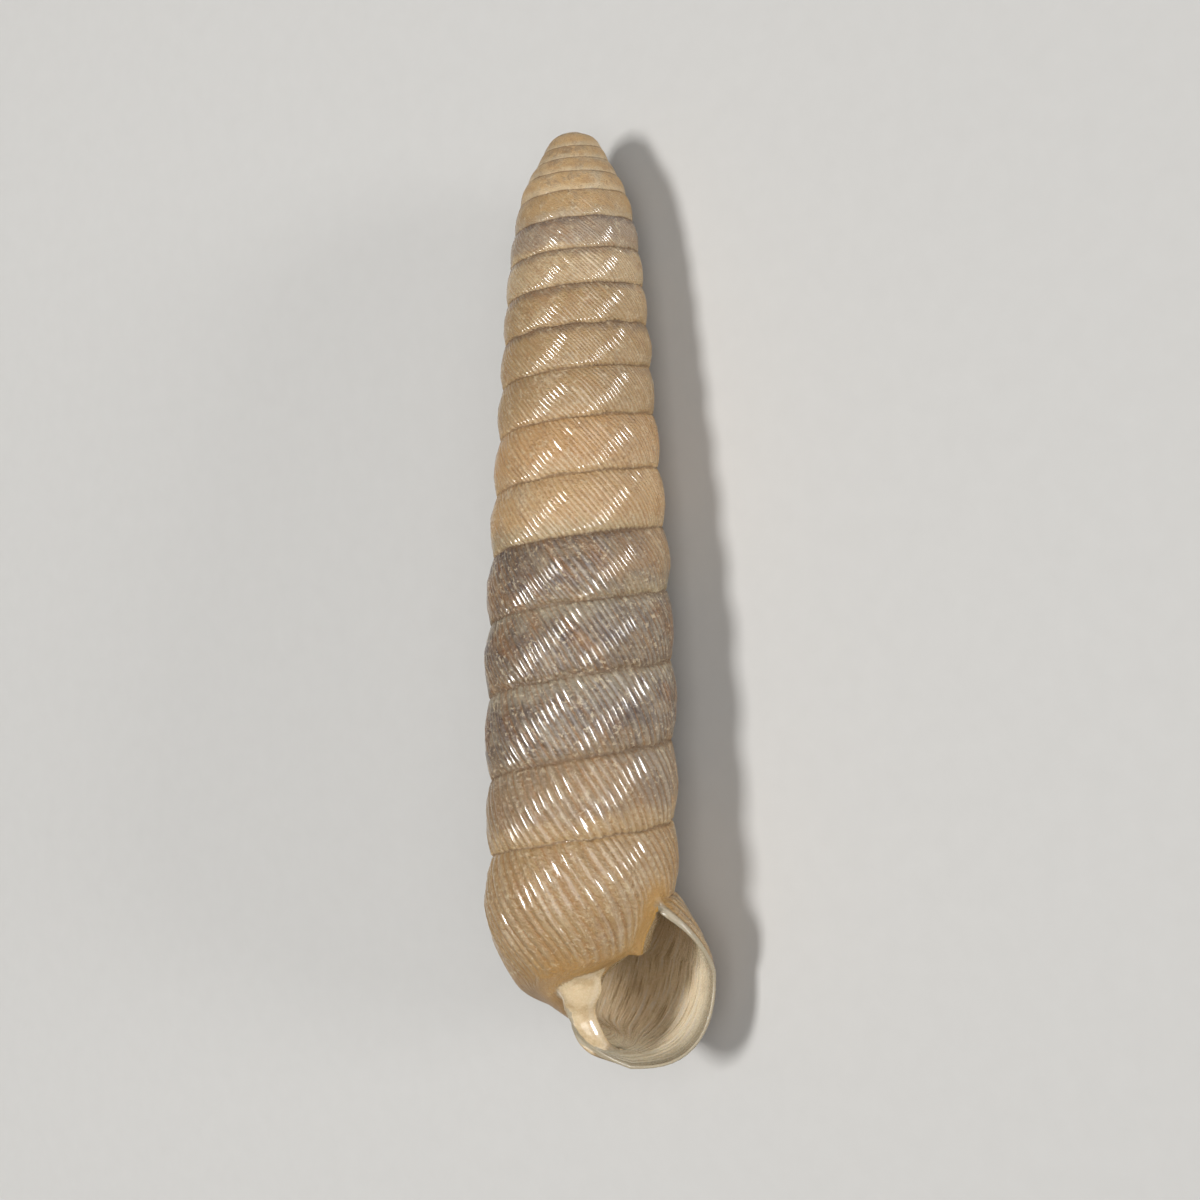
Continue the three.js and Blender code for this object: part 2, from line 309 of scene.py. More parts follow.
def base_profile(turn, along, flare):
    """Radius and depth under the last whorl: along is 0 at its lower seam, 1 at the columella."""
    top_radius, top_depth = side_profile(turn, np.ones_like(turn), flare)
    power = 2 / mix(BASE_POWER, flare)
    drop, rise, centre = mix(BASE_DROP, flare), mix(BASE_RISE, flare), mix(BASE_CENTRE, flare)
    first = np.arcsin((rise / drop) ** (1 / power))
    angle = first + (np.radians(mix(BASE_END, flare)) - first) * along
    reach = (top_radius - centre) / np.cos(first) ** power
    side = np.cos(angle)
    outer = reach * np.maximum(side, 0) ** power
    inner = -BASE_INNER * (1 - (1 + np.minimum(side, 0)) ** BASE_INNER_POWER)
    radius = centre + np.where(side >= 0, outer, inner)
    return radius, top_depth - rise + drop * np.sin(angle) ** power


def wall(turns, lean):
    """Turn, radius and depth of growth lines: a row for each line, down its side and base.

    lean is how far back each line's turn is at each height on its side.
    """
    flare = flare_at(turns)[:, None]
    side_turn = turns[:, None] - lean
    side = np.stack([side_turn, *side_profile(side_turn, ACROSS[None, :], flare)], -1)
    base_turn = np.repeat(side_turn[:, -1:], len(ALONG) - 1, 1)
    along = np.repeat(ALONG[None, 1:], len(turns), 0)
    radius, depth = base_profile(base_turn, along, flare)
    swing = mix(COLUMELLA_SWING, flare)
    swing = swing * smooth_step(along, mix(SWING_FROM, flare), mix(SWING_TO, flare))
    between = hump(turns, BASE_LEAN_TURNS)
    further = np.sin(np.pi / 2 * np.minimum(along / BASE_LEAN_REACH, 1))
    swing -= BASE_LEAN * between[:, None] * further
    return np.concatenate([side, np.stack([base_turn + swing, radius, depth], -1)], 1)


def in_space(coil):
    """Points in the shell's frame for (turn, radius, depth)."""
    angle = 2 * np.pi * (coil[..., 0] - RIGHT_TURN)
    radius, depth = coil[..., 1], coil[..., 2]
    return np.stack([radius * np.cos(angle), -depth, radius * np.sin(angle)], -1)


def outward(coil):
    """Directions out of the wall, square to each growth line's profile."""
    down = np.gradient(coil[..., 1:], axis=1)
    across = np.stack([down[..., 1], -down[..., 0]], -1)
    across /= np.maximum(np.linalg.norm(across, axis=-1, keepdims=True), LEAST_LENGTH)
    angle = 2 * np.pi * (coil[..., 0] - RIGHT_TURN)
    out_radius, out_depth = across[..., 0], across[..., 1]
    return np.stack([out_radius * np.cos(angle), -out_depth, out_radius * np.sin(angle)], -1)


def growth_turns():
    """The turn at which each growth line leaves its upper seam, from the tip to the lip.

    The lower end of each line is the upper end of the line LINES_BETWEEN_SEAMS further on.
    """
    gap = 1 - slant_at(LIP_TURN)
    turns = list(LIP_TURN - gap * np.arange(LINES_BETWEEN_SEAMS) / LINES_BETWEEN_SEAMS)
    while turns[-1] > slant_at(0) - 1:
        below = turns[-LINES_BETWEEN_SEAMS]
        turns.append(below - 1 + slant_at(below))
    return np.array(turns[::-1])


def ribs(turns, random):
    """Height of the ribs at each growth line: 0 in the valleys and up to 1 on the crests."""
    heights = np.zeros(len(turns))
    line = 0
    while line < len(turns):
        wide = np.interp(turns[line], RIB_TURNS, RIB_WIDTHS)
        last_whorl = turns[line] > FLARE_START_TURN
        lines = max(RIB_LINES_LEAST, round(wide * random.normal(1, RIB_SPREAD[last_whorl])))
        crest = random.uniform(*RIB_CREST)
        part = np.arange(lines)[: len(turns) - line] / lines
        heights[line:line + lines] = crest * np.sin(np.pi * part) ** RIB_SHARPNESS
        line += lines
    return heights


def ripples(random, turns, heights, strength, turn_waves, height_waves, count):
    """Smooth unevenness, from about -strength to strength, over growth lines and heights."""
    turn = turns[:, None]
    total = np.zeros(np.broadcast(turn, heights).shape)
    for _ in range(count):
        turn_wave = random.uniform(RIPPLE_LEAST, 1) * turn_waves
        height_wave = random.uniform(-1, 1) * height_waves
        phase = random.uniform(0, 2 * np.pi)
        total += np.sin(2 * np.pi * (turn * turn_wave + heights * height_wave) + phase)
    return total / np.sqrt(count * 0.5) * RIPPLE_HEIGHT * strength


def distance_to(targets, points):
    """The distance from each point to the nearest target."""
    tree = KDTree(len(targets))
    for i, target in enumerate(targets):
        tree.insert(target, i)
    tree.balance()
    flat = points.reshape(-1, 3)
    return np.array([tree.find(point)[2] for point in flat]).reshape(points.shape[:-1])


class Skin:
    """Points and faces of a mesh, with growth coordinates at each face's corners."""

    def __init__(self):
        self.points = []
        self.faces = []
        self.growth = []

    def add_points(self, points):
        start = len(self.points)
        self.points.extend(map(tuple, np.reshape(points, (-1, 3))))
        return np.arange(start, len(self.points)).reshape(np.shape(points)[:-1])

    def add_face(self, corners, growth):
        seen = {}
        for corner, place in zip(corners, growth):
            seen.setdefault(int(corner), place)
        if len(seen) > 2:
            self.faces.append(list(seen))
            self.growth.extend(seen.values())

    def add_grid(self, ids, growth):
        """Faces between neighbouring rows of a grid of point numbers."""
        def corners(grid):
            four = (grid[:-1, :-1], grid[1:, :-1], grid[1:, 1:], grid[:-1, 1:])
            return np.stack(four, 2).reshape(-1, 4, *grid.shape[2:])
        for face, places in zip(corners(ids).tolist(), corners(growth).tolist()):
            self.add_face(face, places)

    def add_fan(self, ring, centre, growth, centre_growth):
        for i in range(len(ring) - 1):
            self.add_face((ring[i], ring[i + 1], centre), (growth[i], growth[i + 1], centre_growth))

    def mesh(self, name):
        mesh = bpy.data.meshes.new(name)
        mesh.from_pydata(self.points, [], self.faces)
        mesh.uv_layers.new(name="growth").uv.foreach_set("vector", np.ravel(self.growth))
        mesh.shade_smooth()
        return mesh


def add_numbers(mesh, name, values):
    mesh.attributes.new(name, "FLOAT", "POINT").data.foreach_set("value", np.ravel(values))


def hollow_ring(inward, thickness, wall_thickness, forward=0.0, rolled=1.0):
    """A ring of the hollow, inward turns behind the lip, set in from the wall."""
    parietal_turn = LIP_TURN - (1 - slant_at(LIP_TURN)) - CALLUS_ROLL * rolled
    turns = np.array([parietal_turn, LIP_TURN]) - inward
    lines = wall(turns, slant_at(turns)[:, None] * ACROSS[None, :])
    inner, lip = lines[0, SIDE_ROWS - 1:], lines[1, :0:-1]
    heart = (inner[-1] + lip[0]) / 2 - HEART_BACK
    heart[1] = 0
    loop = np.concatenate([inner, heart[None], lip])
    along = np.concatenate([ALONG, [1], ALONG[:0:-1], np.zeros(SIDE_ROWS - 1)])
    across = np.concatenate([np.ones(2 * len(ALONG)), ACROSS[:0:-1]])
    near_columella = along**COLUMELLA_SHARPNESS
    is_lip = np.arange(len(loop)) > len(ALONG)
    off_corner = smooth_step(across * is_lip, 0, CORNER_REACH_ON_LIP)
    loop[:, 0] += forward * is_lip * off_corner * (1 - near_columella)
    side_thickness = np.where(is_lip, wall_thickness, CALLUS)
    inset = side_thickness * (1 - near_columella) + COLUMELLA_WALL * near_columella
    tooth = TOOTH_HEIGHT * hill(along - TOOTH_PLACE, TOOTH_WIDTH)
    inset += np.where(
        is_lip,
        (CORNER_WALL - wall_thickness) * hill(across, CORNER_REACH_ON_LIP),
        CORNER_WALL * hill(along, CORNER_REACH) + tooth,
    )
    swollen = hump(along, SWOLLEN) * (1 - is_lip)
    inset *= swollen + (1 - swollen) * thickness
    centre = loop.mean(0)
    away = np.hypot(*(loop - centre)[:, 1:].T)
    keep = 1 - inset / away
    loop[:, 1:] = centre[1:] + (loop - centre)[:, 1:] * keep[:, None]
    return loop


def ribbon_skin():
    """The lip's thick inner edge, a closed tube with an oval section that changes.

    Also tells which of its points look away from the mouth.
    """
    skin = Skin()
    stations = np.linspace(0, 1, len(RIBBON))
    steps = np.linspace(0, 1, RIBBON_STEPS + 1)
    x, depth, z, wide, thick = (smooth_through(stations, column, steps) for column in RIBBON.T)
    centre = np.stack([x, -depth, z], 1)
    run = np.gradient(centre, axis=0)
    run /= np.linalg.norm(run, axis=1, keepdims=True)
    across = np.cross((0, 0, 1), run)
    across /= np.linalg.norm(across, axis=1, keepdims=True)
    out = np.cross(run, across)
    angle = 2 * np.pi * np.arange(RIBBON_SIDES) / RIBBON_SIDES
    rings = (
        centre[:, None]
        + across[:, None] * (wide[:, None] * np.cos(angle))[..., None]
        + out[:, None] * (thick[:, None] * np.sin(angle))[..., None]
    )
    ids = skin.add_points(rings)
    ids = np.concatenate([ids, ids[:, :1]], 1)
    height = mix((COLUMELLA_HEIGHT, RIBBON_TAIL_HEIGHT), smooth_step(steps, *RIBBON_TAIL))
    behind = np.sin(np.append(angle, 0)) < RIBBON_HIDDEN
    height = np.where(behind, RIBBON_TAIL_HEIGHT, height[:, None])
    growth = np.stack(np.broadcast_arrays(LIP_TURN, height), -1)
    skin.add_grid(ids[::-1], growth[::-1])
    for end, ring in ((0, ids[0][::-1]), (-1, ids[-1])):
        skin.add_fan(ring, skin.add_points(centre[end][None])[0], growth[0], growth[0][0])
    return skin, np.append(np.tile(behind[:-1], len(steps)), (False, False))


def swell_callus(lines, turns, parietal):
    """Swells the wall toward the mouth's inner edge, where the callus makes the tooth."""
    base = lines[parietal:, SIDE_ROWS - 1:]
    swelling = hollow_ring(0, 0, LIP_EDGE, rolled=0)[:len(ALONG), 1:] - base[0, :, 1:]
    turned = turns[parietal:, None] - turns[parietal]
    from_edge = 2 * np.pi * np.maximum(base[..., 1], 1) * turned
    base[..., 1:] += swelling * hill(from_edge, SWOLLEN_REACH)[..., None]


def worn_ribs(turns, from_mouth, random):
    """Height of the ribs all over the wall: worn lower in places and gone beside the mouth."""
    wear = WEAR
    for patches in WEAR_RIPPLES:
        wear = wear + ripples(random, turns, HEIGHTS, *patches)
    rib = ribs(turns, random)[:, None] * np.clip(wear, *WEAR_LIMITS)
    rib *= smooth_step(turns, *RIBS_START)[:, None]
    rib *= smooth_step(from_mouth, *RIBS_END_BY_MOUTH)
    return rib * (1 - smooth_step(HEIGHTS, *RIBS_END_ON_BASE))


def carve(points, out, turns, parietal_turn, rib, random):
    """Raises the ribs on the wall, cuts the seams' grooves and makes the seams ragged."""
    grown = smooth_step(turns, *GROWN_TURNS)[:, None]
    relief = np.interp(turns, RIB_TURNS, RIB_HEIGHTS)[:, None] * rib
    relief += grown * ripples(random, turns, HEIGHTS, *UNEVEN_RIPPLES)
    fading = 1 - smooth_step(turns, parietal_turn - LAST_SEAM_FADE, parietal_turn)[:, None]
    seam_stays = np.where(ACROSS > 0.5, fading, 1)
    groove = hill(np.minimum(ACROSS, 1 - ACROSS), GROOVE_WIDTH) * mix(GROOVE_DEPTH, grown)
    relief[:, :SIDE_ROWS] -= groove * seam_stays
    points += out * relief[..., None]
    ragged = rib[:, SIDE_ROWS - 1:SIDE_ROWS] + ripples(random, turns, 0, *SEAM_RIPPLES) - 0.5
    ragged = SEAM_RAGGED * ragged * hill(1 - ACROSS, RAGGED_REACH)
    points[:, :SIDE_ROWS, 1] -= ragged * seam_stays * grown


def add_wall(skin, points, growth, turns, parietal):
    """Adds the outer wall. Each line starts at the lower end of the line one whorl above it."""
    tip = skin.add_points([(0, 0, 0)])[0]
    ids = np.full(points.shape[:2], tip)
    ids[1:, 1:SIDE_ROWS] = skin.add_points(points[1:, 1:SIDE_ROWS])
    ids[parietal:, SIDE_ROWS:] = skin.add_points(points[parietal:, SIDE_ROWS:])
    joined = np.arange(LINES_BETWEEN_SEAMS, len(turns))
    joined = joined[turns[joined] > 0]
    ids[joined, 0] = ids[joined - LINES_BETWEEN_SEAMS, SIDE_ROWS - 1]
    skin.add_grid(ids[:, :SIDE_ROWS], growth[:, :SIDE_ROWS])
    skin.add_grid(ids[parietal:, SIDE_ROWS - 1:], growth[parietal:, SIDE_ROWS - 1:])
    return ids


def mouth_rings():
    """Rings of the lip's rounded edge and of the hollow, each with its turns behind the lip."""
    rings = []
    for a in np.linspace(0, math.pi, LIP_EDGE_RINGS + 1)[1:]:
        forward = LIP_ROUNDING * math.sin(a)
        rings.append((hollow_ring(0, (1 - math.cos(a)) / 2, LIP_EDGE, forward, a / math.pi), 0))
    for i in range(1, HOLLOW_RINGS + 1):
        inward = HOLLOW_TURNS * (i / HOLLOW_RINGS) ** HOLLOW_SPREAD
        thick = smooth_step(inward, 0, LIP_THICKENS_IN)
        thin = smooth_step(inward, LIP_THICKENS_IN, LIP_THINS_IN)
        thickness = mix((mix((LIP_EDGE, LIP_WALL), thick), WALL), thin)
        rings.append((hollow_ring(inward, mix(CALLUS_THICKNESS, thin), thickness), inward))
    return rings


def add_hollow(skin, ring):
    """Adds the lip's rounded edge and the hollow, inward from the ring of points at the mouth."""
    numbers = [ring]
    turns = [LIP_TURN]
    for loop, inward in mouth_rings():
        numbers.append(skin.add_points(in_space(loop)))
        turns.append(LIP_TURN - inward)
    numbers = np.array(numbers)
    numbers = np.concatenate([numbers, numbers[:, :1]], 1)
    around = INSIDE_HEIGHT + np.linspace(0, 1, len(ring) + 1)
    growth = np.stack(np.broadcast_arrays(np.array(turns)[:, None], around), -1)
    skin.add_grid(numbers[::-1], growth[::-1])
    middle = loop.mean(0)
    middle[0] = turns[-1]
    back = skin.add_points(in_space(middle)[None])[0]
    skin.add_fan(numbers[-1], back, growth[-1], (turns[-1], INSIDE_HEIGHT + 0.5))


def shell_mesh(ribbon_points):
    """The whole coil as one closed skin: outer wall, lip, hollow and the foot of the columella."""
    random = np.random.default_rng(SEED)
    turns = growth_turns()
    parietal = len(turns) - 1 - LINES_BETWEEN_SEAMS
    parietal_turn = turns[parietal]

    from_mouth = np.minimum(abs(turns - LIP_TURN), abs(turns - parietal_turn))
    sways = np.clip(from_mouth / STEADY_TURNS, 0, 1)[:, None] * np.sin(np.pi * ACROSS)
    sway = ripples(random, turns, ACROSS, *SWAY_RIPPLES) * sways
    lines = wall(turns, slant_at(turns + 1)[:, None] * ACROSS + sway)
    swell_callus(lines, turns, parietal)
    points = in_space(lines)
    inner_edge = np.concatenate([points[parietal, SIDE_ROWS - 1:], ribbon_points])
    rib = worn_ribs(turns, distance_to(inner_edge, points), random)
    carve(points, outward(lines), turns, parietal_turn, rib, random)

    skin = Skin()
    growth = np.stack(np.broadcast_arrays(turns[:, None], HEIGHTS), -1)
    ids = add_wall(skin, points, growth, turns, parietal)
    foot = (lines[parietal, -1] + lines[-1, -1]) / 2 * (1, 0, 1)
    heart = skin.add_points(in_space(foot)[None])[0]
    heart_growth = (LIP_TURN, COLUMELLA_HEIGHT)
    skin.add_fan(ids[parietal:, -1], heart, growth[parietal:, -1], heart_growth)
    wall_count = len(skin.points)
    ring = np.concatenate([ids[parietal, SIDE_ROWS - 1:], [heart], ids[-1, :0:-1]])
    add_hollow(skin, ring)

    # Numbers for the finish: the distance from the lip's edge (below 0 on the outside) and from
    # the mouth's inner edge, the height of the ribs, and 1 where no next whorl lies below.
    mesh = skin.mesh("shell")
    places = np.array(skin.points)
    lip = distance_to(places[ring[len(ALONG):]], places)
    lip[:wall_count] *= -1
    add_numbers(mesh, "lip", lip)
    add_numbers(mesh, "callus", distance_to(inner_edge, places))
    crest = np.zeros(len(places))
    crest[ids] = rib
    add_numbers(mesh, "crest", crest)
    opening = smooth_step(turns, parietal_turn - OPEN_SIDE_FADE, parietal_turn)
    open_side = np.ones(len(places))
    open_side[ids[:, :SIDE_ROWS]] = opening[:, None]
    open_side[ids[:, 0]] = 0
    open_side[ids[:parietal - LINES_BETWEEN_SEAMS]] = 0
    add_numbers(mesh, "open_side", open_side)
    return mesh


def new_object(name, data):
    made = bpy.data.objects.new(name, data)
    bpy.context.collection.objects.link(made)
    return made


def with_modifiers(piece):
    """The mesh that a piece's modifiers make."""
    bpy.context.view_layer.update()
    shown = piece.evaluated_get(bpy.context.evaluated_depsgraph_get())
    return bpy.data.meshes.new_from_object(shown)


def creases(mesh, least_depth, half_width):
    """Places on the sharp edges below a depth and near the axis: where the ribbon joins on."""
    shape = bmesh.new()
    shape.from_mesh(mesh)
    places = [
        vertex.co.copy()
        for edge in shape.edges
        if edge.is_manifold and edge.calc_face_angle() > CREASE_ANGLE
        for vertex in edge.verts
        if vertex.co.y < -least_depth and abs(vertex.co.x) < half_width
    ]
    shape.free()
    return places


def soften(mesh, places, reach):
    """Smooths a mesh round some places, less and less up to a distance from them."""
    shape = bmesh.new()
    shape.from_mesh(mesh)
    shape.verts.ensure_lookup_table()
    distance = distance_to(places, np.array([vertex.co for vertex in shape.verts]))
    near = [(shape.verts[i], 1 - distance[i] / reach) for i in np.flatnonzero(distance < reach)]
    for _ in range(SOFTEN_PASSES):
        moved = []
        for vertex, share in near:
            beside = [edge.other_vert(vertex).co for edge in vertex.link_edges]
            moved.append(vertex.co.lerp(sum(beside, Vector()) / len(beside), share * SOFTEN_SHARE))
        for (vertex, _), place in zip(near, moved):
            vertex.co = place
    shape.to_mesh(mesh)
    shape.free()


def whole_shell():
    """The shell in its own frame, with the ribbon joined on and their corner smoothed."""
    ribbon, behind = ribbon_skin()
    ribbon_mesh = ribbon.mesh("ribbon")
    for name, (open_face, hidden_face) in RIBBON_NUMBERS.items():
        add_numbers(ribbon_mesh, name, np.where(behind, hidden_face, open_face))
    pad = new_object("ribbon", ribbon_mesh)
    shell = new_object("snail_shell", shell_mesh(np.array(ribbon.points)))
    union = shell.modifiers.new("ribbon", "BOOLEAN")
    union.operation = "UNION"
    union.solver = "MANIFOLD"
    union.object = pad
    whole = with_modifiers(shell)
    soften(whole, creases(whole, RIBBON[0, 1], JOINT_HALF_WIDTH), JOINT_REACH)
    corner_depth, corner_radius = seam_at(LIP_TURN)
    corner = in_space(np.array([LIP_TURN, corner_radius, corner_depth]))
    soften(whole, [corner], CORNER_SOFT_REACH)
    shell.modifiers.clear()
    shell.data = whole
    bpy.data.objects.remove(pad)
    return shell


def lay_down(shell):
    """Turns the shell to its rest pose and centres it in the CAD box. Returns that placing."""
    turn = Matrix.Rotation(REST_PITCH, 4, "X") @ Matrix.Rotation(REST_ROLL, 4, "Y")
    shell.data.transform(turn @ Matrix.Scale(MM, 4))
    corners = np.array([vertex.co for vertex in shell.data.vertices])
    least, most = corners.min(0), corners.max(0)
    middle = (Vector(least) + Vector(most)) / 2
    move = Matrix.Translation((
        (low.x + high.x) / 2 - middle.x,
        (low.y + high.y) / 2 - middle.y,
        low.z - least[2],
    ))
    shell.data.transform(move)
    return move @ turn @ Matrix.Scale(MM, 4)


class Amount:
    """A number, colour or vector in a material. Arithmetic on a number adds Math nodes."""

    def __init__(self, finish, socket):
        self.finish = finish
        self.socket = socket

    def __add__(self, other):
        return self.finish.math("ADD", self, other)

    def __sub__(self, other):
        return self.finish.math("SUBTRACT", self, other)

    def __rsub__(self, other):
        return self.finish.math("SUBTRACT", other, self)

    def __mul__(self, other):
        return self.finish.math("MULTIPLY", self, other)

    def __gt__(self, other):
        return self.finish.math("GREATER_THAN", self, other)

    __radd__ = __add__
    __rmul__ = __mul__


class Finish:
    """A material that is made node by node."""

    def __init__(self, name):
        self.material = bpy.data.materials.new(name)
        self.material.use_nodes = True
        self.tree = self.material.node_tree
        self.tree.nodes.clear()

    def node(self, kind, settings, inputs, output=0):
        """Adds a node: its settings first, then the values or links of its sockets."""
        made = self.tree.nodes.new(kind)
        for name, value in settings.items():
            if name == "stops":
                self.set_stops(made.color_ramp.elements, value)
            else:
                setattr(made, name, value)
        for name, value in inputs.items():
            if isinstance(value, Amount):
                self.tree.links.new(value.socket, made.inputs[name])
            else:
                made.inputs[name].default_value = value
        return Amount(self, made.outputs[output]) if made.outputs else None

    @staticmethod
    def set_stops(elements, stops):
        while len(elements) < len(stops):
            elements.new(0.5)
        for element, (position, colour) in zip(elements, stops):
            element.position = position
            element.color = colour

    def math(self, operation, a, b):
        return self.node("ShaderNodeMath", {"operation": operation}, {0: a, 1: b})

    def rises(self, value, start, end):
        """0 up to start and 1 from end on, or the other way round if end is below start."""
        limits = {"Value": value, "From Min": start, "From Max": end}
        return self.node("ShaderNodeMapRange", {"interpolation_type": "SMOOTHSTEP"}, limits)

    def painted(self, colour, *layers):
        """A colour under layers of other colours, each given as the colour and its amount."""
        for over, amount in layers:
            colours = {0: amount, 6: colour, 7: over}
            colour = self.node("ShaderNodeMix", {"data_type": "RGBA"}, colours, 2)
        return colour

    def stretched(self, vector, factors):
        return self.node("ShaderNodeVectorMath", {"operation": "MULTIPLY"}, {0: vector, 1: factors})

    def noise(self, vector, scale, detail, rough, twist=0.0):
        inputs = {
            "Vector": vector, "Scale": scale, "Detail": detail, "Roughness": rough, "Distortion": twist
        }
        return self.node("ShaderNodeTexNoise", {}, inputs)

    def number(self, name):
        """A number stored on the mesh."""
        return self.node("ShaderNodeAttribute", {"attribute_name": name}, {}, "Fac")


HONEY = (0.431, 0.272, 0.122, 1)
ORANGE_HONEY = (0.424, 0.248, 0.101, 1)
PALE_HONEY = (0.439, 0.312, 0.168, 1)
TAN = (0.339, 0.216, 0.091, 1)
YOUNG_TAN = (0.48, 0.305, 0.135, 1)
GREY_TAN = (0.207, 0.139, 0.079, 1)
WARM_TAN = (0.331, 0.212, 0.094, 1)
PURPLE_TAN = (0.285, 0.209, 0.139, 1)
GREY_BROWN = (0.11, 0.074, 0.047, 1)
PURPLE_GREY = (0.063, 0.043, 0.042, 1)
PALE_GREY = (0.262, 0.217, 0.15, 1)
PALE_HAZE = (0.36, 0.29, 0.165, 1)
CHALK = (0.64, 0.53, 0.36, 1)
WARM_SHADE = (0.26, 0.12, 0.035, 1)
DARK_SHADE = (0.12, 0.065, 0.03, 1)
GOLD = (0.44, 0.24, 0.058, 1)
CREAM = (0.62, 0.49, 0.31, 1)
PAD_SHADE = (0.46, 0.34, 0.19, 1)
LIP_CREAM = (0.26, 0.218, 0.148, 1)
# pale inside colour, partly painted light that comes through the thin wall near the lip
INSIDE_CREAM = (0.74, 0.65, 0.47, 1)
INSIDE_GREY = (0.66, 0.58, 0.46, 1)
INSIDE_BROWN = (0.7, 0.54, 0.34, 1)
# dark colour of the inside's streaks, also used as painted shade deep in the hollow and on the body
# wall
INSIDE_STREAK_AND_SHADE = (0.25, 0.16, 0.07, 1)
PAPER = (0.53, 0.52, 0.5, 1)
PAPER_SHADE = (0.5, 0.49, 0.47, 1)

GRAIN_DEPTH = 0.065
LIGHT_SPREAD = 0.4  # how far light spreads inside the wall

# What the shell is coloured as it grows: a turn and its colour.
GROWTH_COLOURS = [
    (0, YOUNG_TAN),
    (4.2, YOUNG_TAN),
    (4.8, TAN),
    (5.3, PURPLE_TAN),
    (5.9, PURPLE_TAN),
    (6.25, PALE_HONEY),
    (7.0, PALE_HONEY),
    (7.5, TAN),
    (9.9, WARM_TAN),
    (10.5, ORANGE_HONEY),
    (11.2, HONEY),
    (11.9, HONEY),
    (12.5, GREY_BROWN),
    (14.8, GREY_BROWN),
    (15.3, GREY_TAN),
    (15.9, WARM_TAN),
    (16.5, WARM_TAN),
    (17.3, TAN),
]


